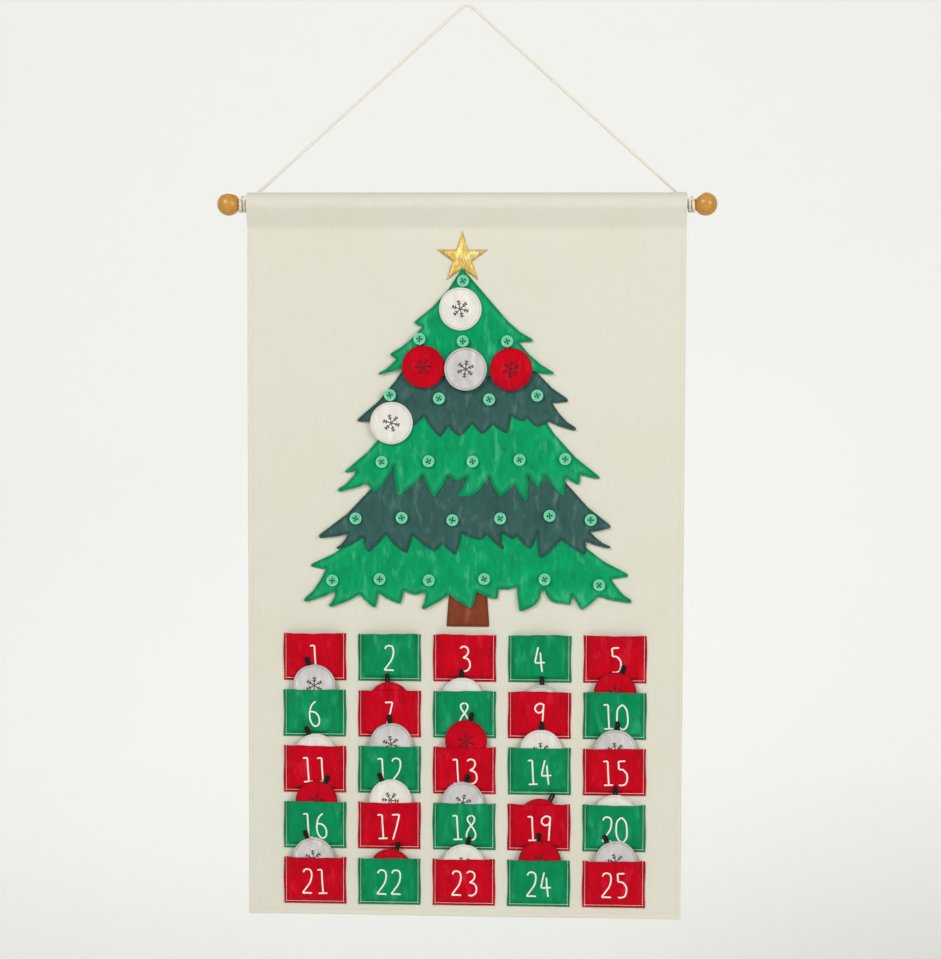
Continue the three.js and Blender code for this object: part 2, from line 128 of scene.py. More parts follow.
class Look:
    """A material. What is the same all over is set on its shader, and nodes give it the rest."""

    def __init__(self, name, roughness, **constants):
        self.material = bpy.data.materials.new(name)
        self.material.use_nodes = True
        self.tree = self.material.node_tree
        self.shader = self.tree.nodes["Principled BSDF"].inputs
        for key, value in {"roughness": roughness, **constants}.items():
            self.shader[key.replace("_", " ").title().replace("Ior", "IOR")].default_value = value

    def mark(self, name, output="Fac"):
        """What a mesh keeps under a name at each point."""
        return Number(add(self.tree, "Attribute", attribute_name=name).outputs[output])

    def streaks(self, scale, place=None, **settings):
        """Noise drawn out by a scale for each axis, per metre."""
        place = place or add(self.tree, "TexCoord").outputs["Object"]
        stretched = add(self.tree, "Mapping", {"Vector": place, "Scale": scale})
        return Number(add(self.tree, "TexNoise", {
            "Vector": stretched, "Scale": 1.0, "Detail": 4.0, "Roughness": 0.55, **settings}))

    def blend(self, share, *ends):
        """Between two colours, each given as six digits or as what a socket takes."""
        first, second = (colour(end) if isinstance(end, str) else end for end in ends)
        mix = add(self.tree, "Mix", {0: share, 6: first, 7: second}, data_type="RGBA")
        return mix.outputs[2]

    def dressed(self, tint, height=None, depth=0.0, strength=1.0):
        """The material, with its colour and a relief so many metres deep."""
        feed(self.shader["Base Color"], tint)
        if depth:
            feed(self.shader["Normal"], add(self.tree, "Bump", {
                "Strength": strength, "Distance": depth, "Height": height}))
        return self.material


def seen_directly(tree):
    """1 for the camera, and for what shows in or through a glossy thing, and 0 for what is lit."""
    ray = add(tree, "LightPath").outputs
    through = Number(ray["Is Glossy Ray"]).math("MAXIMUM", ray["Is Transmission Ray"])
    return Number(ray["Is Camera Ray"]).math("MAXIMUM", through)


pale_wall = colour("e7e7e4")
bend = [(2.9 + 0.9 * sin(a), -0.5 - 0.9 * cos(a)) for a in np.linspace(0.1, 1.5, 12)]
sweep_line = [(-7.0, -1.4), (2.9, -1.4), *bend, (3.8, 3.4)]
count = len(sweep_line)
sweep = bpy.data.meshes.new("studio_sweep")
sweep.from_pydata([(x, y, z) for x in (-8, 8) for y, z in sweep_line], [],
                  [(i, i + 1, i + 1 + count, i + count) for i in range(count - 1)])
sweep.shade_smooth()
wall = Look("wall_paint", 0.9, base_color=pale_wall, emission_color=pale_wall)
wall_place = add(wall.tree, "SeparateXYZ", {
    "Vector": add(wall.tree, "TexCoord").outputs["Object"]})
far_off = (((Number(wall_place.outputs["Y"]) + 1.5).math("ABSOLUTE") - 1) / 3.5).math("MAXIMUM", 0)
feed(wall.shader["Emission Strength"], seen_directly(wall.tree) * far_off.math("MINIMUM", 1) * 0.5)
sweep.materials.append(wall.material)
shown("studio_sweep", sweep)

for name, place, size, power in (
        ("key_lamp", (-1.9, -3.2, 1.4), 1.6, 80), ("fill_lamp", (2.3, -2.5, 0.3), 1.6, 48),
        ("back_lamp", (-0.6, 2.4, 1.3), 1.4, 24)):
    lamp = shown(name, bpy.data.lights.new(name, "AREA"))
    lamp.data.size, lamp.data.energy = size, power
    lamp.location = place
    lamp.rotation_euler = (Vector((0, 0, -0.55)) - Vector(place)).to_track_quat("-Z", "Y").to_euler()

room_light = 0.38
scene.world = bpy.data.worlds.new("studio")
scene.world.use_nodes = True
room = scene.world.node_tree
feed(room.nodes["Background"].inputs["Color"], pale_wall)
feed(room.nodes["Background"].inputs["Strength"], seen_directly(room) * (0.95 - room_light) + room_light)

# Hanging cord: three cotton strands laid together in one length of 787 mm. It is taut over the
# hook, passes behind the top corners of the canvas, winds one and a half turns round each neck of
# the rod, over its own end, and stops in a short tail.
cord_radius, cord_rise, lay_length = 1.8, 205, 11.0
neck_radius, ball_radius, ball_centre, clearance = 5, 12, 248.01, 0.3
rod_forward = 14.3
leg_places = [
    (2.85, 1.27), (5.34, -0.24), (30, -22.3), (60, -49.2), (90, -76.1), (120, -102.9), (150, -129.8),
    (180, -156.7), (205, -179.1), (222, -194.3)]


def winding(side):
    """From behind a corner of the canvas round the neck of the rod, and to the end of the tail."""
    pitch, start, touch, end, step, tail = 4.2, -9, 80, 520, 15, 11
    near = neck_radius + cord_radius + clearance
    outer = ball_centre - sqrt((ball_radius + cord_radius + clearance) ** 2 - near ** 2)
    turn = np.r_[start:touch:step, touch:end:step]
    part = np.minimum(1, (turn - start) / (touch - start))
    along = outer - pitch * ((1 - part) ** 3 + np.maximum(0, turn - touch) / 360)
    radius = near + (rod_forward - near) * (1 + np.cos(pi * part)) / 2
    points = np.column_stack([side * along, radius * np.cos(np.radians(turn)) - rod_forward,
                              -radius * np.sin(np.radians(turn)) - cord_rise])
    heading = (points[-1] - points[-2]) * (0, 1, 1)
    heading *= tail / np.linalg.norm(heading)
    return [*points, points[-1] + heading * 0.5, points[-1] + heading]


def run_along(line):
    """How far along a line each of its points is."""
    return np.r_[0, np.cumsum(np.linalg.norm(np.diff(line, axis=0), axis=1))]


def at_runs(line, runs):
    """The points so far along a line."""
    own_runs = run_along(line)
    return np.column_stack([np.interp(runs, own_runs, values) for values in line.T])


def smooth_line(control, step):
    """Evenly spaced points on a smooth curve through the control points."""
    control = np.asarray(control, float)
    padded = np.vstack([2 * control[0] - control[1], control, 2 * control[-1] - control[-2]])
    pieces = []
    for p, q, r, s in zip(padded, padded[1:], padded[2:], padded[3:]):
        a, b, c = (max(np.linalg.norm(v - u) ** 0.5, 1e-6) for u, v in ((p, q), (q, r), (r, s)))
        out = b * ((q - p) / a - (r - p) / (a + b) + (r - q) / b)
        back = b * ((r - q) / b - (s - q) / (b + c) + (s - r) / c)
        t = np.linspace(0, 1, max(4, int(2 * b * b / step)), endpoint=False)[:, None]
        pieces.append((2 * t**3 - 3 * t**2 + 1) * q + (t**3 - 2 * t**2 + t) * out
                      + (3 * t**2 - 2 * t**3) * r + (t**3 - t**2) * back)
    line = np.vstack([*pieces, control[-1:]])
    length = run_along(line)[-1]
    return at_runs(line, np.linspace(0, length, max(2, round(length / step) + 1)))


def new_shape(name, **sizes):
    """A new tree that works on a geometry, with named inputs. Returns it and their sockets."""
    tree = bpy.data.node_groups.new(name, "GeometryNodeTree")
    for key, kind in {"Geometry": "Geometry", **sizes, "Material": "Material"}.items():
        tree.interface.new_socket(key, in_out="INPUT", socket_type="NodeSocket" + kind)
    tree.interface.new_socket("Geometry", in_out="OUTPUT", socket_type="NodeSocketGeometry")
    return tree, tree.nodes.new("NodeGroupInput").outputs


def realised(tree, geometry):
    """The end of each tree: real geometry with its material."""
    real = add(tree, "RealizeInstances", {"Geometry": geometry})
    smooth = add(tree, "SetShadeSmooth", {"Geometry": real})
    feed(tree.nodes.new("NodeGroupOutput").inputs[0], add(tree, "SetMaterial", {
        "Geometry": smooth, "Material": tree.nodes["Group Input"].outputs["Material"]}))


def shaped(lines, tree, **values):
    """Runs a tree over lines, each a list of points, and returns what it makes as a plain mesh."""
    points, edges = [], []
    for line in lines:
        edges += [(len(points) + i, len(points) + i + 1) for i in range(len(line) - 1)]
        points += [(*p, 0)[:3] for p in line]
    mesh = bpy.data.meshes.new("lines")
    mesh.from_pydata(points, edges, [])
    carrier = shown("lines", mesh)
    modifier = carrier.modifiers.new(tree.name, "NODES")
    modifier.node_group = tree
    for item in tree.interface.items_tree:
        if item.in_out == "INPUT" and item.name in values:
            modifier[item.identifier] = values[item.name]
    made = bpy.data.meshes.new_from_object(carrier.evaluated_get(bpy.context.evaluated_depsgraph_get()))
    bpy.data.objects.remove(carrier)
    return made


def set_down(name, mesh, body, slot, *nodes, place=None, material=None):
    """Turns a mesh in millimetres, moved by a function of its points, into a piece on its body."""
    points = np.empty(len(mesh.vertices) * 3)
    mesh.vertices.foreach_get("co", points)
    points = points.reshape(-1, 3)
    mesh.vertices.foreach_set("co", ((place(points) if place else points) / 1000).ravel())
    mesh.update()
    mesh.name = name
    if material:
        mesh.materials.append(material)
    piece = shown(name, mesh)
    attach(piece, body)
    if nodes:
        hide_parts(*nodes)
    return piece


# Each strand of a rope is round in section and touches the rope's middle
rope, given = new_shape("laid_rope", Radius="Float", Lay="Float", Strands="Int", Sides="Int")
rope_run = Number(add(rope, "SplineParameter").outputs["Length"])
marked_line = add(rope, "StoreNamedAttribute", {
    "Geometry": add(rope, "MeshToCurve", {"Mesh": given["Geometry"]}),
    "Name": "along", "Value": rope_run}, domain="POINT")
twisted = add(rope, "SetCurveTilt", {
    "Curve": marked_line, "Tilt": rope_run / given["Lay"] * tau})
ring = add(rope, "CurvePrimitiveCircle", {"Resolution": given["Sides"], "Radius": 1.0})
turn_share = Number(add(rope, "InputIndex")) / given["Sides"]
ring_turn = turn_share * tau
strand_angle = Number(given["Strands"]) ** -1 * tau
reach = (ring_turn % strand_angle - strand_angle * 0.5).math("COSINE") * given["Radius"]
section = add(rope, "SetPosition", {"Geometry": ring, "Position": add(
    rope, "CombineXYZ", {"X": ring_turn.math("COSINE") * reach, "Y": ring_turn.math("SINE") * reach})})
marked_section = add(rope, "StoreNamedAttribute", {
    "Geometry": section, "Name": "around", "Value": turn_share}, domain="POINT")
from_end = (Number(add(rope, "SplineParameter")) * -2 + 1).math("ABSOLUTE") * -1 + 1
realised(rope, add(rope, "CurveToMesh", {
    "Curve": twisted, "Profile Curve": marked_section, "Scale": (from_end * 160 + 0.3).math("MINIMUM", 1),
    "Fill Caps": True}))

# Cotton: fine fibres run along each strand, with painted shade in the grooves between strands
cotton = Look("cord_cotton", 0.9, sheen_weight=0.25, sheen_roughness=0.5)
along, around = cotton.mark("along"), cotton.mark("around")
fibre_place = add(cotton.tree, "CombineXYZ", {"X": along * 0.35, "Y": around * 34 + along * 1.3})
fibre = cotton.streaks((1, 1, 1), fibre_place, Roughness=0.5)
# The grooves where the strands meet are painted darker as shade, and the fibres vary in tone at random
groove_shade_and_fibre = ((around * 3 % 1.0 - 0.5).math("ABSOLUTE") * 2) ** 3 * 0.55 + (fibre - 0.5) * 0.5
cotton_tint = cotton.blend(groove_shade_and_fibre.math("MAXIMUM", 0), "f6f0e0", "b3a68b")

cord_line = smooth_line([
    *reversed(winding(-1)), *[(-x, 0, z) for x, z in reversed(leg_places)], (0, 0, cord_radius),
    *[(x, 0, z) for x, z in leg_places], *winding(1)], 0.8)
cord_mesh = shaped([cord_line], rope, Radius=cord_radius, Lay=lay_length, Strands=3, Sides=24,
                   Material=cotton.dressed(cotton_tint, fibre, 0.0002, 0.5))
cord = set_down("twisted_cord", cord_mesh, "hanger", "cord_cotton", "hanging_cord")

# Rod: turned from one length of softwood, with a neck and a ball at each end, and honey varnished.
# It lies loose in the canvas sleeve.
rod_radius, cove_length, banner_half = 11.1, 6, 228.5


def polar(radius, angles, middle=(0, 0)):
    """Points on a circle."""
    return np.array(middle) + radius * np.column_stack([np.cos(angles), np.sin(angles)])


def closed_mesh(points, faces, sharp=50, **marks):
    """Faces that close, turned outwards and smooth but for edges sharper than an angle, with
    doubles merged. Each mark is kept at the points, for a material to read."""
    mesh = bpy.data.meshes.new("closed")
    mesh.from_pydata(points, [], faces)
    for key, values in marks.items():
        values = np.asarray(values, float)
        kind, field = ("FLOAT", "value") if values.ndim == 1 else ("FLOAT_VECTOR", "vector")
        mesh.attributes.new(key, kind, "POINT").data.foreach_set(field, values.ravel())
    work = bmesh.new()
    work.from_mesh(mesh)
    bmesh.ops.remove_doubles(work, verts=work.verts, dist=1e-4)
    bmesh.ops.recalc_face_normals(work, faces=work.faces)
    work.to_mesh(mesh)
    work.free()
    mesh.shade_smooth()
    mesh.set_sharp_from_angle(angle=radians(sharp))
    return mesh


def lathe(profile, sides, **marks):
    """Turned about X from (along, radius) pairs that start and end on the axis. Each mark is found
    from the points."""
    ring = polar(1, np.arange(sides) / sides * tau)
    points = np.vstack([np.column_stack([np.full(sides, along), ring * radius]) for along, radius in profile])
    ids = np.arange(len(points)).reshape(-1, sides)
    ahead = np.roll(ids, -1, 1)
    faces = np.stack([ids[:-1], ahead[:-1], ahead[1:], ids[1:]], -1).reshape(-1, 4)
    return closed_mesh(points, faces.tolist(), **{key: find(points) for key, find in marks.items()})


def on_rod(points):
    """From the frame of the rod's axis."""
    return points + (0, -rod_forward, -cord_rise)


rod_half = [(banner_half - cove_length * sin(a),
             neck_radius + (rod_radius - neck_radius) * (1 - cos(a)))
            for a in np.linspace(1, 0, 9) * pi / 2]
ball_turn = pi - asin(neck_radius / ball_radius)
rod_half += [*polar(ball_radius, np.linspace(ball_turn, 0, 26)[:-1], (ball_centre, 0)),
             (ball_centre + ball_radius, 0)]
wood = Look("varnished_wood", 0.38, coat_weight=0.35, coat_roughness=0.2)
year_rings = wood.streaks((9, 170, 170), Detail=3.0, Distortion=0.6)
pores = wood.streaks((60, 1500, 1500), Detail=2.0)
grain = ((year_rings * 9).math("SINE") * 0.32 + 0.5).math("MAXIMUM", 0)
wood_tint = wood.blend(pores ** 3 * 1.2, wood.blend(grain, "da9b2e", "b1741c"), "693c10")
rod_mesh = lathe([(-a, r) for a, r in reversed(rod_half)] + rod_half, 64)
set_down("turned_rod", rod_mesh, "hanger", "rod_wood", "hanging_rod", place=on_rod,
         material=wood.dressed(wood_tint, pores + grain * 0.3, 0.00008))

# Banner: one length of cotton canvas. Its top is folded back over the rod and sewn down behind as
# a sleeve, and its sides and foot are hemmed with three layers of cloth.
cloth_half, hem_width, hem_extra, sleeve_middle, sleeve_drop = 0.4, 7, 1.6, 11.8, 24.84
hem_line, flap_end, corner_curl, corner_reach = -749.8, -33, 6, 26
hem_seam, sleeve_seam = 5, -26.5
fold_middle, fold_rise = -39.5, 0.9


def ease(value):
    """A smooth step from 0 to 1."""
    value = np.clip(value, 0, 1)
    return value * value * (3 - 2 * value)


def rounded(distance, radius):
    """How far a rounded edge has risen, from 0 at its lip to 1 at its radius."""
    return np.sqrt(1 - (1 - np.clip(distance / radius, 0, 1)) ** 2)


def bell(distance, width):
    """1 at no distance, and falling off smoothly."""
    return np.exp(-(distance / width) ** 2)


def swell(x, z):
    """How far the hanging canvas stands forward of a flat sheet: least behind the felt."""
    bare = ease((np.abs(x) - 193) / 25) * 0.9 + ease((z + 75) / 40) * 0.5 + ease((-z - 735) / 12) * 0.5
    slow = np.sin(0.017 * x + 1.7 * np.sin(0.006 * z + 0.4)) + 0.7 * np.sin(0.011 * z + 0.02 * x + 2)
    curl = np.clip((x - banner_half + corner_reach) / corner_reach, 0, 1) * np.clip(
        (hem_line + corner_reach - z) / corner_reach, 0, 1)
    hanging = ease((-z - 24) / 20)
    return (slow * (0.12 + bare) * hanging + corner_curl * curl ** 1.5
            + fold_rise * bell(x - fold_middle, 4.5) * ease((-z - 590) / 110)
            + 0.12 * np.sin(0.8 * z) * bell(banner_half - hem_seam - np.abs(x), 3) * hanging
            + 0.12 * np.sin(0.7 * x) * bell(z - sleeve_seam, 3))


def panel_face(x, z, side):
    """The Y of the panel's front (side -1) or back (side 1), in the rod's frame."""
    edge = np.minimum(banner_half - np.abs(x), z - hem_line)
    in_hem = ease((hem_width + 0.3 - np.minimum(edge, hem_width + 1)) / 0.6) * ease((-z - 30) / 6)
    back, middle = cloth_half + hem_extra * in_hem, hem_extra * in_hem / 2
    target = -cloth_half if side < 0 else back
    groove = 0.3 * bell(edge - hem_seam, 0.7) + 0.18 * bell(z - sleeve_seam, 0.8)
    return middle + (target - middle) * rounded(edge, 0.9) - side * groove - swell(x, z)


def shell(outer, inner, wide, sharp=50, **marks):
    """A closed mesh of two layers of points, in rows that are so many points wide."""
    ids = np.arange(len(outer)).reshape(-1, wide)
    quads = np.stack([ids[:-1, :-1], ids[:-1, 1:], ids[1:, 1:], ids[1:, :-1]], -1).reshape(-1, 4)
    rim = np.r_[ids[0], ids[1:, -1], ids[-1, -2::-1], ids[-2:0:-1, 0]]
    ahead, count = np.roll(rim, -1), len(outer)
    walls = np.column_stack([ahead, rim, rim + count, ahead + count])
    faces = np.vstack([quads, quads[:, ::-1] + count, walls])
    return closed_mesh([*outer, *inner], faces.tolist(), sharp, **marks)


lean = asin(sleeve_middle / sleeve_drop)
cloth_path = np.array([
    (2 * cloth_half, flap_end), (2 * cloth_half, -sleeve_drop),
    *polar(sleeve_middle, np.linspace(-lean, pi + lean, 60)), (0, -sleeve_drop), (0, hem_line)])
even_run = np.arange(0, run_along(cloth_path)[-1], 0.5)
soft_path = at_runs(cloth_path, even_run)
for _ in range(16):
    soft_path[1:-1] = (soft_path[:-2] + 2 * soft_path[1:-1] + soft_path[2:]) / 4
edge_steps = np.array([0, 0.12, 0.35, 0.7, 1.2, 2.2, 3.4, 4.3, 5, 5.7, 6.6, 7, 7.3, 7.7, 9, 11.5])
across = np.r_[edge_steps - banner_half, np.linspace(-213.5, 213.5, 108), banner_half - edge_steps[::-1]]
panel_run = even_run[np.argmax((even_run > 60) & (soft_path[:, 1] < -31))]
runs = np.r_[0, 0.3, 0.8, np.arange(1.6, panel_run, 1.5), np.arange(panel_run, even_run[-1] - 14, 4.2),
             even_run[-1] - edge_steps[::-1]]
x, run = (grid.ravel() for grid in np.meshgrid(across, runs))
before, (y, z), after = (
    [np.interp(run + step, even_run, values) for values in soft_path.T] for step in (-0.5, 0, 0.5))
way = np.subtract(after, before)
way /= np.hypot(*way)
lip = cloth_half * rounded(banner_half - np.abs(x), 0.5) * rounded(run, 0.5)
on_panel = ease((run - panel_run + 6) / 6)
layers = []
for side in (-1, 1):
    sleeve_y, sleeve_z = y - side * way[1] * lip - swell(x, z) * 0.3, z + side * way[0] * lip
    layers.append(np.column_stack([x, sleeve_y + (panel_face(x, z, side) - sleeve_y) * on_panel,
                                   np.where(on_panel > 0.99, z, sleeve_z)]))
cloth_places = np.column_stack([x, run, np.zeros(len(x))]) / 1000

# Plain weave: each thread goes over and under the next, with slubs along it, specks of seed, and painted
# shade in the valleys between threads
thread_pitch = 0.00062
woven = Look("canvas_cloth", 0.92, sheen_weight=0.15, sheen_roughness=0.6)
cloth_at = woven.mark("cloth", "Vector").socket
split = add(woven.tree, "SeparateXYZ", {"Vector": cloth_at})
warp, weft = (Number(split.outputs[axis]) / thread_pitch for axis in "XY")
over = (warp.math("FLOOR") + weft.math("FLOOR")) % 2.0
warp_ridge, weft_ridge = ((way * pi).math("SINE").math("ABSOLUTE") for way in (warp, weft))
weave = over * warp_ridge + (over * -1 + 1) * weft_ridge
slubs = (woven.streaks((1600, 45, 1), cloth_at, Detail=2.0)
         + woven.streaks((45, 1600, 1), cloth_at, Detail=2.0)) * 0.5
shade = woven.streaks((7, 7, 7), cloth_at, Detail=3.0)
specks = woven.streaks((420, 420, 420), cloth_at, Detail=1.0).math("GREATER_THAN", 0.79)
# The valleys between threads are painted a little darker as shade
canvas_tint = woven.blend((slubs - 0.32) * 0.8 + weave * -0.12 + 0.12, "e3e1d1", "c8c5b0")
canvas_tint = woven.blend((shade - 0.45) * 0.5, canvas_tint, "cfc7ae")
canvas_tint = woven.blend(specks * 0.35, canvas_tint, "a59471")
canvas_mesh = shell(*layers, len(across), 60, cloth=np.tile(cloth_places, (2, 1)))
canvas = set_down("sewn_canvas", canvas_mesh, "banner", "canvas", "canvas_banner", place=on_rod,
                  material=woven.dressed(canvas_tint, weave * 0.6 + slubs, 0.00022, 0.6))

# Machine stitches hold the hems and the sleeve. Every seam on the banner is made of such stitches:
# short arches of thread, one after the other along a line.
sewing, given = new_shape(
    "stitch_row", Pitch="Float", Length="Float", Thread="Float", Arch="Float", Seed="Int")
stitch_points = add(sewing, "ResampleCurve", {
    "Curve": add(sewing, "MeshToCurve", {"Mesh": given["Geometry"]}), "Length": given["Pitch"]},
    mode="LENGTH")
heading = add(sewing, "AlignRotationToVector", {
    "Vector": add(sewing, "InputTangent")}, axis="X", pivot_axis="Z")
dips = [add(sewing, "CombineXYZ", {
    "X": Number(given["Length"]) * 0.5 * side, "Z": Number(given["Thread"]) * -1.2}) for side in (-1, 1)]
crest = add(sewing, "CombineXYZ", {"Z": Number(given["Arch"]) * 2})
arch = add(sewing, "CurveQuadraticBezier", {
    "Resolution": 4, "Start": dips[0], "Middle": crest, "End": dips[1]})
thread_round = add(sewing, "CurvePrimitiveCircle", {"Resolution": 5, "Radius": given["Thread"]})
one_stitch = add(sewing, "CurveToMesh", {
    "Curve": arch, "Profile Curve": thread_round, "Fill Caps": True})
unevenness = add(sewing, "RandomValue", {2: 0.9, 3: 1.06, "Seed": given["Seed"]}, data_type="FLOAT")
realised(sewing, add(sewing, "InstanceOnPoints", {
    "Points": stitch_points, "Instance": one_stitch, "Rotation": heading, "Scale": unevenness.outputs[1]}))


def speckled(name, roughness, tint, other, fineness, depth=0.0, detail=4.0, **constants):
    """A material in fine specks of two colours, which also stand up by a depth."""
    look = Look(name, roughness, **constants)
    specks = look.streaks((fineness,) * 3, Detail=detail)
    return look.dressed(look.blend(specks, tint, other), specks, depth)


def thread(name, tint):
    """Spun thread: twisted fibres that catch the light along it."""
    dark = tuple(c * 0.6 for c in colour(tint)[:3]) + (1,)
    return speckled(name, 0.7, tint, dark, 5200, 0.00005, 1.0, sheen_weight=0.2, sheen_roughness=0.4)


def sew(name, lines, material, place, body="banner", pitch=2.6, length=2.0, radius=0.17, seed=1):
    """Rows of stitches along flat lines, laid on the cloth by place."""
    mesh = shaped(lines, sewing, Pitch=pitch, Length=length, Thread=radius, Arch=0.22, Seed=seed,
                  Material=material)
    return set_down(name, mesh, body, "thread", place=place)


def straight(corners, step):
    """Straight lines from each corner to the next."""
    return [smooth_line([a, b], step) for a, b in zip(corners, corners[1:])]


cream_thread = thread("cream_thread", "f0ead8")
side_seam, foot_seam = banner_half - hem_seam, hem_line + hem_seam
hem_lines = straight([(-side_seam, -30), (-side_seam, foot_seam), (side_seam, foot_seam),
                      (side_seam, -30)], 3)
hem_lines += straight([(-banner_half + 1.5, sleeve_seam), (banner_half - 1.5, sleeve_seam)], 3)
for side, name in ((-1, "hem_stitches_front"), (1, "hem_stitches_back")):
    def on_panel_face(points):
        x, z, lift = points.T
        flap = 2 * cloth_half * (side > 0) * (z > -31)
        return on_rod(np.column_stack([x, panel_face(x, z, side) + side * lift + flap, z]))
    sew(name, hem_lines, cream_thread, on_panel_face, pitch=3.0, length=2.4, radius=0.2)

# Tree: five skirts of pressed wool felt, each over the top of the next. Each is cut with shears and
# sewn down round its edge, which leaves the felt slightly puffed between the rows of stitches.
felt_thick, seam_inset, seam_depth = 1.2, 1.9, 0.42
hung_joint = next(joint for joint in frame["record"]["behaviour"]["joints"]
                  if joint["name"] == "ornament_01_sway")


def leaning(angle):
    """The directions right, up and out of a plane whose top leans forward by an angle, in rows."""
    sine, cosine = sin(angle), cos(angle)
    return np.array([(1, 0, 0), (0, -sine, cosine), (0, -cosine, -sine)])


def measured(node, directions):
    """The corners of a node of the frame along three directions, in millimetres, and its faces."""
    source = bpy.data.objects[node]
    work = bmesh.new()
    work.from_mesh(source.data)
    work.transform(source.matrix_world)
    bmesh.ops.remove_doubles(work, verts=work.verts, dist=1e-6)
    corners = np.array([v.co for v in work.verts]) * 1000 @ directions.T
    faces = [[v.index for v in face.verts] for face in work.faces]
    work.free()
    return corners, faces


def back_outline(node, directions):
    """The edge of a node's flat back, anticlockwise, how far out that back is, and all corners."""
    corners, faces = measured(node, directions)
    base = corners[:, 2].min()
    edges = set()
    for face in faces:
        if max(corners[i, 2] for i in face) < base + 0.02:
            edges |= set(zip(face, face[1:] + face[:1]))
    after = {a: b for a, b in edges if (b, a) not in edges}
    loop = [min(after)]
    while after[loop[-1]] != loop[0]:
        loop.append(after[loop[-1]])
    return corners[loop[::-1], :2], base, corners


def round_tips(loop, radius):
    """An outline with each sharp point that sticks out rounded off, and no farther in than it was."""
    points = []
    for before, corner, after in zip(np.roll(loop, 1, 0), loop, np.roll(loop, -1, 0)):
        came, goes = corner - before, after - corner
        room = 0.7 * min(np.linalg.norm(came), np.linalg.norm(goes))
        came, goes = came / np.linalg.norm(came), goes / np.linalg.norm(goes)
        turn = atan2(came[0] * goes[1] - came[1] * goes[0], came @ goes)
        if turn < 0.6:
            points.append(corner)
            continue
        used = min(radius, room / tan(turn / 2))
        middle = corner - (came - goes) / np.linalg.norm(came - goes) * used
        points += [*polar(used, atan2(-came[0], came[1]) + np.linspace(0, turn, 6), middle)]
    return np.array(points)


def closed(loop):
    """A line that ends where it starts."""
    return np.vstack([loop, loop[:1]])


def even_loop(loop, step, softening):
    """Evenly spaced points round a closed line, with its corners rounded but nearly as far out."""
    length = run_along(closed(loop))[-1]
    points = at_runs(closed(loop), np.linspace(0, length, round(length / step), endpoint=False))

    def eased(values):
        for _ in range(softening):
            values = (np.roll(values, 1, 0) + 2 * values + np.roll(values, -1, 0)) / 4
        return values

    return eased(points) + eased(points - eased(points)) * 0.4


def pushed(loop, pushes):
    """A line pushed out round some places, each given with its reach and how far it goes."""
    for x, z, reach, out_x, out_z in pushes:
        near = np.clip(1 - ((loop - (x, z)) ** 2).sum(1) / reach ** 2, 0, 1) ** 2
        loop = loop + near[:, None] * (out_x, out_z)
    return loop


def inside_distance(points, loop):
    """How far each point is inside a closed line, less than zero outside it."""
    start, step = loop, np.roll(loop, -1, 0) - loop
    found = []
    for part in np.array_split(points, max(1, len(points) * len(loop) // 2000000)):
        away = part[:, None] - start
        share = np.clip((away * step).sum(2) / (step * step).sum(1), 0, 1)
        distance = np.linalg.norm(away - share[..., None] * step, axis=2).min(1)
        rises = (away[..., 1] >= 0) != (part[:, 1, None] >= (start + step)[:, 1])
        slope = np.where(step[:, 1] == 0, 1, step[:, 1])
        crossed = rises & (away[..., 0] < away[..., 1] * step[:, 0] / slope)
        found.append(np.where(crossed.sum(1) % 2, distance, -distance))
    return np.concatenate(found)


def inset(loop, depth):
    """The line a depth inside a closed line."""
    ahead = np.roll(loop, -1, 0) - np.roll(loop, 1, 0)
    ahead /= np.linalg.norm(ahead, axis=1)[:, None]
    points = loop + depth * np.column_stack([-ahead[:, 1], ahead[:, 0]])
    return points[inside_distance(points, loop) > 0.93 * depth]


def triangles(points, *loops):
    """Points and triangles that fill a closed line but for the holes in it, and where each line's
    own points are among them."""
    ends = np.cumsum([0, *map(len, loops)])
    rims = [[*range(*ends[k:k + 2])] for k in range(len(loops))]
    edges = [edge for rim in rims for edge in zip(rim, rim[1:] + rim[:1])]
    sites = [Vector(p) for part in (*loops, points) for p in part]
    found, _, faces, origin, _, _ = delaunay_2d_cdt(sites, edges, [], 0, 1e-5)
    found, faces = np.array([tuple(p) for p in found]), np.array(faces)
    inside, *in_holes = (inside_distance(found[faces].mean(1), loop) > 0 for loop in loops)
    place_of = {site: k for k, here in enumerate(origin) for site in here}
    kept = faces[inside & ~np.any(in_holes, axis=0)]
    return found, kept, [[place_of[i] for i in rim] for rim in rims]


def cut_felt(loop, base, rise, grid):
    """A sheet cut to a closed line. Its front rises above its back by rise(points, distance)."""
    rings = [inset(loop, depth) for depth in (0.3, 0.8, 1.3, seam_inset, 2.7)]
    field = np.column_stack([places.ravel() for places in np.meshgrid(
        *[np.arange(values.min() + grid / 3, values.max(), grid) for values in loop.T])])
    field = field[inside_distance(field, loop) > 3.8]
    front, front_faces, (front_rim,) = triangles(np.vstack([*rings, field]), loop)
    back, back_faces, (back_rim,) = triangles([], loop)
    distance = np.maximum(inside_distance(front, loop), 0)
    distance[front_rim] = 0
    height = base + felt_thick * (0.35 + 0.65 * rounded(distance, 0.8)) + rise(front, distance)
    points = [*np.column_stack([front, height]), *[(*p, base) for p in back]]
    rim = [(a, b + len(front)) for a, b in zip(front_rim, back_rim)]
    faces = front_faces.tolist() + (back_faces[:, ::-1] + len(front)).tolist()
    faces += [(a, b, d, c) for (a, b), (c, d) in zip(rim, rim[1:] + rim[:1])]
    return closed_mesh(points, faces, from_edge=np.r_[distance, np.full(len(back), 9.0)])


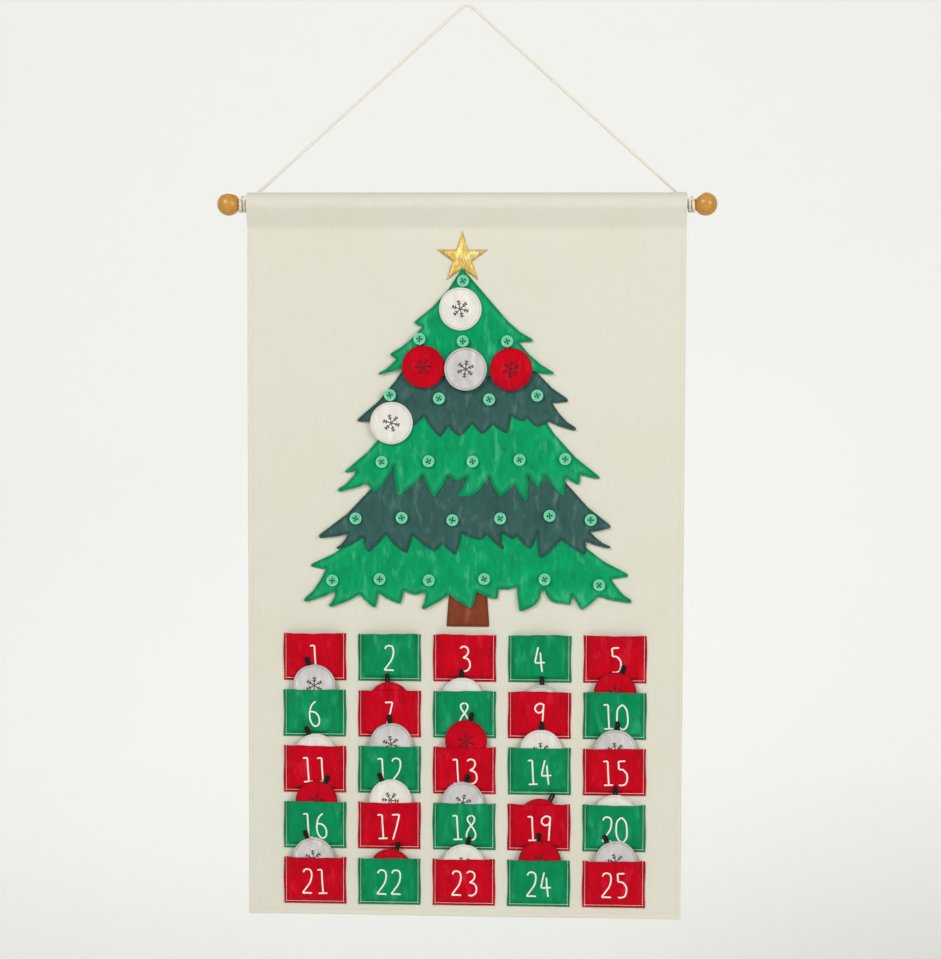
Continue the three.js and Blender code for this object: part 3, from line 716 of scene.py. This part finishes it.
def quilted(buttons=(), covered_above=None, puff=0.26):
    """How felt rises: the seam sinks in, the cloth behind it swells, and each button pulls it down.
    Where the skirt above covers it, it swells less."""
    def rise(points, distance):
        x, y = points.T
        lobes = 0.5 + 0.5 * np.sin(x * 0.33 + 2 * np.sin(y * 0.11)) * np.sin(y * 0.21 + 1)
        free = 0 if covered_above is None else ease((covered_above - y) / 12)
        height = (0.26 + (puff - 0.26) * free) * ease((distance - seam_inset) / 4.5) * (0.6 + 0.4 * lobes)
        for button in buttons:
            height = height * (1 - np.exp(-((points - button[:2]) ** 2).sum(1) / 30))
        return height - seam_depth * bell(distance - seam_inset, 0.6)
    return rise


def felt(name, tint, shaded, pale, seam_and_edge_shade, swell_highlight=0.0):
    """Pressed wool: short fibres laid every way, thicker and thinner in patches and paler with lint in
    places, with painted shade in its seam and on its cut edge, and a painted highlight where the padded felt
    swells inside its seam."""
    look = Look(name, 0.96, sheen_weight=0.03, sheen_roughness=0.4, specular_ior_level=0.12)
    fibres = (look.streaks((700, 700, 3000), Distortion=1.2)
              + look.streaks((3000, 700, 700), Distortion=1.2)) * 0.5
    patches = look.streaks((170, 170, 60), Detail=3.0)
    clouds = look.streaks((45, 45, 45), Detail=2.0)
    rubbed = look.streaks((110, 110, 38), Detail=3.0)
    edge = look.mark("from_edge")
    thin = (patches - 0.5) * 1.3 + (clouds - 0.5) * 0.8 + (fibres - 0.5) * 1.6 + 0.42
    base = look.blend(thin.math("MAXIMUM", 0).math("MINIMUM", 1), tint, shaded)
    # Lint and rubbed patches make it paler at random, and a painted highlight lightens the swelling felt
    # about 5.5 mm in from the edge
    lint_and_highlight = (((fibres - 0.58) * 4).math("MAXIMUM", 0) + ((rubbed - 0.55) * 3.2).math("MAXIMUM", 0)
            + edge.bell(5.5, 2.2) * (clouds * 0.7) * swell_highlight)
    worn_and_highlit = look.blend(lint_and_highlight.math("MINIMUM", 0.55), base, pale)
    # Painted shade: darker in the groove of the seam and on the cut edge
    cut_edge_shade = (edge / -1.0 + 1).math("MAXIMUM", 0) * 0.65
    return look.dressed(look.blend(edge.bell(seam_inset, 0.5) * 0.55 + cut_edge_shade, worn_and_highlit, seam_and_edge_shade),
                        fibres * 0.8 + patches * 1.5, 0.0007, 0.7)


def on(directions, start=(0, 0, 0)):
    """Lays points on a plane that faces the given directions, from a start on it."""
    return lambda points: (points + start) @ directions


def sewn_felt(name, node, slot, cloth, stitches, yarn, plane, loop, base, rise,
              grid=3.0, seam=seam_inset, seam_lift=-seam_depth, **stitch):
    """A piece of felt cut to a line, and its stitches along a seam inside that line."""
    piece = set_down(name, cut_felt(loop, base, rise, grid), "banner", slot, node, place=on(plane),
                     material=cloth)
    sew(stitches, [closed(inset(loop, seam))], yarn, on(plane, (0, 0, base + felt_thick + seam_lift)),
        **stitch)
    return piece


tier_plane = leaning(atan2(hung_joint["axis"][2], hung_joint["axis"][1]))
greens = [
    ("felt_bright_green", felt("bright_green_felt", "05a667", "067f50", "52c493", "0a5233", 0.3),
     thread("bright_green_thread", "0b6e49")),
    ("felt_dark_green", felt("dark_green_felt", "3a625c", "2d4c48", "5f877f", "16302c", 0.15),
     thread("dark_green_thread", "27453f"))]
full_lobes = {4: [(86, -568, 12, -0.5, -1.5)],
              5: [(71.5, -618, 18, 3.4, -3.2), (94, -613, 17, -2.7, -4.4), (127, -625, 12, -1, -1.8)]}
button_radius, button_thick, shank_length, shank_radius = 6.25, 2.2, 2.5, 1.5
button_places, foot_above = [], None
for tier in range(1, 6):
    node = f"tree_tier_{tier}"
    shape, tier_base, corners = back_outline(node, tier_plane)
    shape = pushed(even_loop(round_tips(shape, 2.1), 0.9, 3), full_lobes.get(tier, []))
    button_base = tier_base + felt_thick + shank_length
    raised = corners[corners[:, 2] > button_base + button_thick - 0.1, :2]
    own_buttons = []
    while len(raised):
        near = np.linalg.norm(raised - raised[0], axis=1) < 2.2 * button_radius
        own_buttons.append((*(raised[near].max(0) + raised[near].min(0)) / 2, button_base))
        raised = raised[~near]
    button_places += own_buttons
    slot, cloth, yarn = greens[(tier + 1) % 2]
    sewn_felt(f"felt_skirt_{tier}", node, slot, cloth, f"skirt_{tier}_stitches", yarn, tier_plane, shape,
              tier_base, quilted(own_buttons, foot_above, 0.9 if tier > 2 else 0.3), seed=tier)
    foot_above = shape[:, 1].min() - 2

# Trunk: one piece of brown felt, cut with shears and laid under the foot of the lowest skirt. It is
# sewn to the canvas round its edge in brown thread.
upright = leaning(0)
shape, trunk_base, _ = back_outline("tree_trunk", upright)
brown = felt("brown_felt", "8b442c", "6f3420", "a8664a", "4a2114")
sewn_felt("felt_trunk", "tree_trunk", "felt_brown", brown, "trunk_stitches", thread("brown_thread", "5d2c1b"),
          upright, even_loop(shape, 1.0, 2), trunk_base, quilted())

# Star: gold lame cloth over a little padding, so that it rises to a ridge from each tip to the
# middle. A row of stitches runs round its rim.
star_rise, star_seam = 1.32, 1.3
shape, star_base, _ = back_outline("tree_star", upright)
shape = even_loop(shape, 0.7, 1)


def padded_star(points, distance):
    """How the star rises, which is most at its middle."""
    most = inside_distance(shape.mean(0)[None], shape)[0]
    return star_rise * (distance / most) ** 0.95 - 0.2 * bell(distance - star_seam, 0.45)


lame = Look("gold_cloth", 0.42, metallic=0.55)
tinsel = lame.streaks((620, 400, 240), Distortion=1.2)
rubbed = lame.streaks((110, 110, 110), Detail=2.0)
glints, worn_gold = (((n - 0.4) * 4).math("MAXIMUM", 0).math("MINIMUM", 1) for n in (tinsel, rubbed))
gold_tint = lame.blend(glints, lame.blend(worn_gold, "f0e09a", "dcbb58"), "b88f35")
edge = lame.mark("from_edge")
# Painted shade: darker brown in the groove of the seam and at the cut rim
gold_rim_shade = edge.bell(star_seam, 0.4) * 0.75 + (edge / -0.7 + 1).math("MAXIMUM", 0)
gold_tint = lame.blend((gold_rim_shade * 0.8).math("MINIMUM", 0.8), gold_tint, "855d1e")
star = sewn_felt(
    "gold_star", "tree_star", "star_gold", lame.dressed(gold_tint, tinsel, 0.00025, 0.5), "star_stitches",
    thread("gold_thread", "a8843c"), upright, shape, star_base, padded_star, grid=1.5, seam=star_seam,
    seam_lift=0.22, pitch=2.2, length=1.7, radius=0.15)

# Buttons: 25 four-hole buttons of pearly mint plastic, turned with a rim round a dish. Each is sewn
# on crosswise and stands on a shank of wound thread, so that a loop goes behind it.
rim_width, dish_depth, hole_radius, hole_place = 1.5, 0.8, 0.95, 1.6


def ring_points(radius, count, middle=(0, 0)):
    """So many points round a circle."""
    return polar(radius, np.arange(count) / count * tau, middle)


hole_middles = ring_points(hole_place * sqrt(2), 4) @ np.array([(1, 1), (-1, 1)]) / sqrt(2)
flat, faces, rims = triangles(
    np.vstack([ring_points(r, n) for r, n in (
        (6.15, 48), (5.9, 48), (5.4, 40), (4.9, 36), (4.5, 32), (4.1, 28), (3.2, 20), (0.4, 6))]),
    ring_points(button_radius, 48), *[ring_points(hole_radius, 12, middle) for middle in hole_middles])
radius = np.linalg.norm(flat, axis=1)
in_dish = ease((button_radius - rim_width + 0.5 - radius) / 0.9)
top = button_thick * (0.45 + 0.55 * rounded(button_radius - radius, 1.0)) - dish_depth * in_dish
foot = button_thick * 0.3 * (1 - rounded(button_radius - radius, 0.8))
button_faces = faces.tolist() + (faces[:, ::-1] + len(flat)).tolist()
button_faces += [(b, a, a + len(flat), b + len(flat)) for rim in rims for a, b in zip(rim, rim[1:] + rim[:1])]
button_mesh = closed_mesh([*np.column_stack([flat, top]), *np.column_stack([flat, foot])], button_faces, 45,
                          in_dish=np.r_[in_dish, in_dish * 0])

sewn_on, given = new_shape("sewn_on", Master="Object", Seed="Int", Tilt="Float")
copied = add(sewn_on, "ObjectInfo", {"Object": given["Master"]})
turns = [add(sewn_on, "RandomValue", {2: least, 3: most, "Seed": seed}, data_type="FLOAT").outputs[1]
         for least, most, seed in (
             *[(Number(given["Tilt"]) * -1, given["Tilt"], Number(given["Seed"]) + k) for k in (1, 2)],
             (0.0, tau, given["Seed"]))]
realised(sewn_on, add(sewn_on, "InstanceOnPoints", {
    "Points": given["Geometry"], "Instance": copied.outputs["Geometry"],
    "Rotation": add(sewn_on, "CombineXYZ", dict(zip("XYZ", turns)))}))

mint = Look("mint_plastic", 0.24, coat_weight=0.4, coat_roughness=0.1)
pearl = mint.blend(mint.streaks((220, 220, 90), Detail=2.0, Distortion=1.5), "83eab9", "64cf9d")
# Painted shade: the dish inside the rim is coloured a darker mint
mint_plastic = mint.dressed(mint.blend(mint.mark("in_dish"), pearl, "5cc096"))
button_yarn = thread("button_thread", "1b5d46")
dish_floor = button_thick - dish_depth
cross = [smooth_line([(*(hole * side), dish_floor + lift) for side, lift in (
    (-1, -1.2), (-0.97, -0.1), (-0.75, 0.25), (0, 0.36 + over), (0.75, 0.25), (0.97, -0.1), (1, -1.2))], 0.35)
    for hole, over in ((hole_middles[0], 0), (hole_middles[1], 0.4))]
cross_mesh = shaped(cross, rope, Radius=0.5, Lay=2.6, Strands=2, Sides=10, Material=button_yarn)
shank_mesh = shaped([[(0, 0, -shank_length - 0.5), (0, 0, -1), (0, 0, 0.4)]], rope, Radius=shank_radius,
                    Lay=9.0, Strands=5, Sides=20, Material=button_yarn)
for name, slot, mesh, tilt, material in (
        ("mint_buttons", "button_mint", button_mesh, 0.03, mint_plastic),
        ("button_threads", "thread_dark", cross_mesh, 0.03, button_yarn),
        ("button_shanks", "thread_dark", shank_mesh, 0.0, button_yarn)):
    copies = shaped([[place] for place in button_places], sewn_on, Seed=4, Tilt=tilt, Material=material,
                    Master=bpy.data.objects.new(name + "_master", mesh))
    set_down(name, copies, "banner", slot, place=on(tier_plane))

# Pockets: 25 pieces of red and green felt, sewn to the canvas on three sides in cream thread. Inside
# the seams each stands off the canvas, where an ornament slides in.
pocket_width, pocket_height, pocket_seam, pocket_shoulder = 66, 49.4, 3.3, 7.3
pocket_lean, ornament_thick, pocket_stitch = 0.070353, 2.4, 2.6


def pocket_back(x, z):
    """How far the back of a pocket stands off the canvas."""
    loose = (ease((pocket_width / 2 - np.abs(x) - pocket_seam) / (pocket_shoulder - pocket_seam))
             * ease((z - pocket_seam) / (pocket_shoulder - pocket_seam)))
    room = ornament_thick / cos(pocket_lean) + clearance
    return loose * (room + z * tan(pocket_lean))


def pocket_front(x, z):
    """How far its front does, over felt that thins at its edge and in its seam."""
    edge = np.minimum(pocket_width / 2 - np.abs(x), z)
    cut = 0.3 + 0.7 * rounded(np.minimum(edge, pocket_height - z), 0.7)
    return pocket_back(x, z) + felt_thick * cut - 0.32 * bell(edge - pocket_stitch, 0.6)


def pocket_mesh(seed):
    """A pocket with its back, cut a little unevenly."""
    dice = random.Random(seed)
    waves = [dice.uniform(0, tau) for _ in range(4)]
    steps = np.array([0, 0.2, 0.5, 0.9, 1.5, 2.1, 2.6, 3.1, 3.8, 4.6, 5.4, 6.3, 7.3, 9])
    xs = np.r_[steps - pocket_width / 2, np.linspace(-21, 21, 15), pocket_width / 2 - steps[::-1]]
    zs = np.r_[steps, np.linspace(12, 45, 12), pocket_height - np.array([3, 1.5, 0.7, 0.3, 0])]
    x, z = (grid.ravel() for grid in np.meshgrid(xs, zs))
    bent_x = x + 0.35 * np.sin(z * 0.13 + waves[0]) * np.abs(x) / 33
    mouth = (z / pocket_height) ** 3 * ease((30 - np.abs(x)) / 5)
    bent_z = z + mouth + (0.35 * np.sin(x * 0.09 + waves[1])
                          + 0.2 * np.sin(x * 0.31 + waves[2])) * z / pocket_height
    sag = (0.06 * (1 + np.sin(x * 0.12 + waves[3])) + tan(pocket_lean)) * mouth
    edge = np.minimum(np.minimum(pocket_width / 2 - np.abs(x), z), 2 + pocket_height - z)
    layers = [np.column_stack([bent_x, bent_z, side(x, z) + sag]) for side in (pocket_front, pocket_back)]
    return shell(*layers, len(xs), from_edge=np.r_[edge, np.full(len(x), 9.0)])


red = felt("red_felt", "d2001c", "a50016", "dc2440", "7a0013")
pocket_green = felt("pocket_green_felt", "05935a", "067146", "33ad7a", "0a5537")
pocket_side, pocket_top = pocket_width / 2 - pocket_stitch, pocket_height - 1
seam_corners = np.array([(-pocket_side, pocket_top), (-pocket_side, pocket_stitch),
                         (pocket_side, pocket_stitch), (pocket_side, pocket_top)])
pocket_places, pocket_seams = [], []
for number in range(1, 26):
    corners, _ = measured(f"pocket_{number:02d}", upright)
    low, high = corners.min(0), corners.max(0)
    where = np.array([(low[0] + high[0]) / 2, low[1], low[2]])
    pocket_places.append(where)
    pocket_seams += straight(seam_corners + where[:2], 2)
    slot, cloth = ("felt_red", red) if number % 2 else ("felt_bright_green", pocket_green)
    set_down(f"felt_pocket_{number:02d}", pocket_mesh(number), "banner", slot, f"pocket_{number:02d}",
             place=on(upright, where), material=cloth)
pocket_base = pocket_places[0][2]
sew("pocket_stitches", pocket_seams, thread("pocket_thread", "f6f6f2"),
    on(upright, (0, 0, pocket_base + felt_thick - 0.15)), pitch=2.5, length=2.2, radius=0.27, seed=9)

# Numbers: 1 to 25, painted by hand on the pockets in cream fabric paint that stands a little proud.
# A stroke is a flat band of paint that narrows to a round end.
stroke, given = new_shape("painted_stroke", Width="Float", Rise="Float")
level = add(stroke, "SetCurveNormal", {
    "Curve": add(stroke, "MeshToCurve", {"Mesh": given["Geometry"]})}, mode="Z_UP")
half_width = Number(given["Width"]) * 0.5
run_in = Number(add(stroke, "SplineParameter").outputs["Length"])
run_out = Number(add(stroke, "SplineLength").outputs["Length"]) - run_in
end_share = (run_in.math("MINIMUM", run_out) / half_width).math("MINIMUM", 1) * -1 + 1
taper = (end_share * end_share * -1 + 1).math("SQRT").math("MAXIMUM", 0.12)
flat_brush = add(stroke, "Transform", {
    "Geometry": add(stroke, "CurvePrimitiveCircle", {"Resolution": 10, "Radius": 1.0}),
    "Scale": add(stroke, "CombineXYZ", {"X": half_width, "Y": given["Rise"], "Z": 1.0})})
realised(stroke, add(stroke, "CurveToMesh", {
    "Curve": level, "Profile Curve": flat_brush, "Scale": taper, "Fill Caps": True}))

# Each digit's strokes, apart by a slash, as points across and up from its middle
digit_strokes = {
    "0": "0.2 13.2  -4.2 9  -5.4 2  -4.6 -7  -0.8 -13  2.6 -13  5.6 -8  5.8 0  4.2 8.5  0.2 13.2",
    "1": "-4.6 12.3  -2.5 12.7  0.2 12.9 / 0.2 13  0.8 0  1.6 -12.8 / -3.6 -13  6.2 -12.6",
    "2": "-4.2 9.6  -3.2 12.2  0 13.4  3.4 12  4.6 8  4.2 3.5  2.6 -1.5  -1.5 -7.5  "
         "-5.2 -12.6 / -5.2 -12.8  0 -12.6  5 -12.9",
    "3": "-4.4 11.2  -1 13.2  2.8 12  4.2 8.4  2.6 4  -1.4 1.2 / -1.4 1.2  3 0.2  5.8 -4  5.2 -10  "
         "1.4 -13  -2.6 -12.6",
    "4": "-1.6 13.4  -3.2 6  -5 -3.2 / -5 -3.6  0 -3.4  5.6 -3 / 0.6 7.8  1.4 -3  2.6 -13.4",
    "5": "-3.6 12.8  3.8 13.2 / -3.8 12.8  -3.2 8  -2.8 4.6  1.4 3.6  5.2 -0.6  5.8 -6.6  3.8 -11.6  "
         "-0.6 -13  -3 -12.4",
    "6": "1.6 13.4  -2.4 9.6  -4.6 3  -4.8 -3.6  -3.2 -9.6  0.6 -13.4  4.4 -11.6  5.2 -6  3.8 -1.6  "
         "0.4 1.6  -4.4 2.4",
    "7": "-4.4 12.8  3.6 13.2 / 3.6 13.2  0.6 0  -3.4 -14",
    "8": "0.4 13.4  -3.2 11.4  -3.4 8  -0.6 3.4  2.8 -1.6  5 -7  3.6 -12  0 -13.4  -3.8 -11.6  "
         "-4.6 -7.2  -2.4 -1.6  1.2 3.4  3.6 7.8  3.2 11.6  0.4 13.4",
    "9": "4.2 12.4  0.4 13.4  -3.8 10.8  -4.4 6.4  -1 3.6  2.6 4.8  4.2 8 / 4.4 13  3.8 3  2.8 -13.2"}
digit_spacing, stroke_width, paint_rise = 15, 1.7, 0.16
number_lines = []
for number, where in enumerate(pocket_places, 1):
    digits = str(number)
    for k, digit in enumerate(digits):
        shift = (k - (len(digits) - 1) / 2) * digit_spacing
        for line in digit_strokes[digit].split("/"):
            points = np.array(line.split(), float).reshape(-1, 2)
            number_lines.append(smooth_line(points + where[:2] + (shift, pocket_height / 2), 0.55))


def on_pockets(points):
    """Lays flat points on the front of the pocket that they are over."""
    middles = np.array(pocket_places)[:, :2] + (0, pocket_height / 2)
    nearest = np.argmin(np.linalg.norm(points[:, None, :2] - middles, axis=2), axis=1)
    x, z = (points[:, :2] - np.array(pocket_places)[nearest, :2]).T
    return np.column_stack([points[:, :2], points[:, 2] + pocket_base + pocket_front(x, z) + 0.03]) @ upright


cream_paint = speckled("cream_paint", 0.55, "f8f6ef", "e4e0d5", 900, 0.00012, 2.0)
numbers = shaped(number_lines, stroke, Width=stroke_width, Rise=paint_rise, Material=cream_paint)
set_down("painted_numbers", numbers, "banner", "print_cream", place=on_pockets)

# Ornaments: each is two felt discs sewn together near the rim, with a painted snowflake on its front
# and a loop of black elastic sewn in at the top. Five hang on buttons and twenty are in pockets.
ornament_radius, hung_count, loop_radius, loop_hang, disc_seam = 22.5, 5, 0.7, 29.2, 20.15
disc_profile = [
    (0.1, 0), (0.08, 8), (0, 15), (0, 18.8), (0.22, 20.4), (0.02, 21.2), (0.12, 22), (0.5, 22.45),
    (0.95, 22.4), (1.2, 22.1), (1.45, 22.4), (1.9, 22.45), (2.28, 22), (2.38, 21.2), (2.18, 20.4),
    (2.4, 18.8), (2.4, 15), (2.4, 8), (2.4, 0)]
white = felt("white_felt", "e9e6de", "d6d2c8", "f6f5f0", "b9b4a9")
grey = felt("grey_felt", "d8d5d3", "b3b0ad", "ebe9e6", "8f8b87")
elastic = speckled("black_elastic", 0.8, "1b1813", "0b0a08", 2500, sheen_weight=0.05, sheen_roughness=0.4,
                   specular_ior_level=0.2)
grey_print = speckled("grey_print", 0.7, "2e2a29", "46403f", 1200, specular_ior_level=0.2)
wine_print = speckled("wine_print", 0.7, "4c0512", "6a0c1c", 1200, specular_ior_level=0.2)
disc_looks = {
    "felt_red": (red, thread("red_thread", "8d0a22"), wine_print),
    "felt_white": (white, thread("white_thread", "d3cdc1"), grey_print),
    "felt_grey": (grey, thread("grey_thread", "716c67"), grey_print)}
disc_slots = {part["node"]: part["material_slot"] for part in frame["record"]["subparts"]}


def snowflake(turn):
    """Six arms, each with two pairs of barbs."""
    lines = []
    for angle in turn + np.arange(6) * pi / 3:
        (arm,) = polar(1, [angle])
        barbs = polar(2.7, [angle - pi / 3.4, angle + pi / 3.4])
        ends = [(arm * 0.2, arm * 9.5)] + [(arm * r, arm * r + barb) for r in (4.4, 6.9) for barb in barbs]
        lines += [smooth_line(pair, 0.6) for pair in ends]
    return lines


for number in range(1, 26):
    node = f"ornament_{number:02d}"
    plane = tier_plane if number <= hung_count else leaning(pocket_lean)
    corners, _ = measured(node, plane)
    low, high = corners.min(0), corners.max(0)
    centre = np.array([(low[0] + high[0]) / 2, low[1] + ornament_radius, high[2] - ornament_thick])
    dice = random.Random(number)
    wobble = [dice.uniform(0, tau) for _ in range(2)]

    def cut_round(points):
        """From turned about X to facing out, and a little out of round."""
        turn = np.arctan2(points[:, 2], points[:, 1])
        scale = 1 - 0.006 * (1 + np.sin(2 * turn + wobble[0])) - 0.003 * (1 + np.sin(5 * turn + wobble[1]))
        return np.column_stack([points[:, 1] * scale, points[:, 2] * scale, points[:, 0]])

    cloth, yarn, ink = disc_looks[disc_slots[node]]
    disc = lathe(disc_profile, 80, from_edge=lambda points: (
        ornament_radius - 0.15 - np.hypot(points[:, 1], points[:, 2]) + (points[:, 0] < 1) * 9))
    seated = on(plane, centre)
    set_down(f"felt_disc_{number:02d}", disc, node, disc_slots[node], node,
             place=lambda points: seated(cut_round(points)), material=cloth)
    sew(f"disc_stitches_{number:02d}", [closed(ring_points(disc_seam, 60))], yarn,
        on(plane, centre + (0, 0, 2.2)), body=node, pitch=2.9, length=1.9, radius=0.18, seed=number)

    # The loop goes straight up from a pocket, or back and round the shank of a button
    reach = corners[:, :2] - centre[:2]
    farthest = reach[np.argmax(np.linalg.norm(reach, axis=1))]
    loop_turn = atan2(farthest[0], farthest[1])
    bend, band_width = (shank_radius + clearance + loop_radius, 1.5) if number <= hung_count else (1.3, 2.5)
    sewn_in = ornament_radius - loop_radius
    leg, set_back = [(bend, sewn_in - 4, 1.2)], 0
    if high[2] - low[2] - ornament_thick > 1:
        set_back = ornament_thick + clearance
        leg = [(bend, sewn_in - 6, 1.2), (bend, sewn_in - 3, 0.5), (bend, 23.5, 1.2 - set_back)]
    arc = [(*p, 1.2 - set_back) for p in polar(bend, np.linspace(0, pi, 9), (0, loop_hang))]
    path = np.array(leg + arc + [(-x, y, z) for x, y, z in reversed(leg)])
    sine, cosine = sin(loop_turn), cos(loop_turn)
    spin = np.array([(cosine, -sine, 0), (sine, cosine, 0), (0, 0, 1)])
    band = shaped([smooth_line(path @ spin, 0.6)], stroke, Width=band_width, Rise=0.6, Material=elastic)
    set_down(f"elastic_loop_{number:02d}", band, node, "elastic_black", place=seated)
    flake = shaped(snowflake(dice.uniform(0, 1)), stroke, Width=1.0, Rise=0.14, Material=ink)
    set_down(f"snowflake_{number:02d}", flake, node, "print_dark",
             place=on(plane, centre + (0, 0, ornament_thick)))
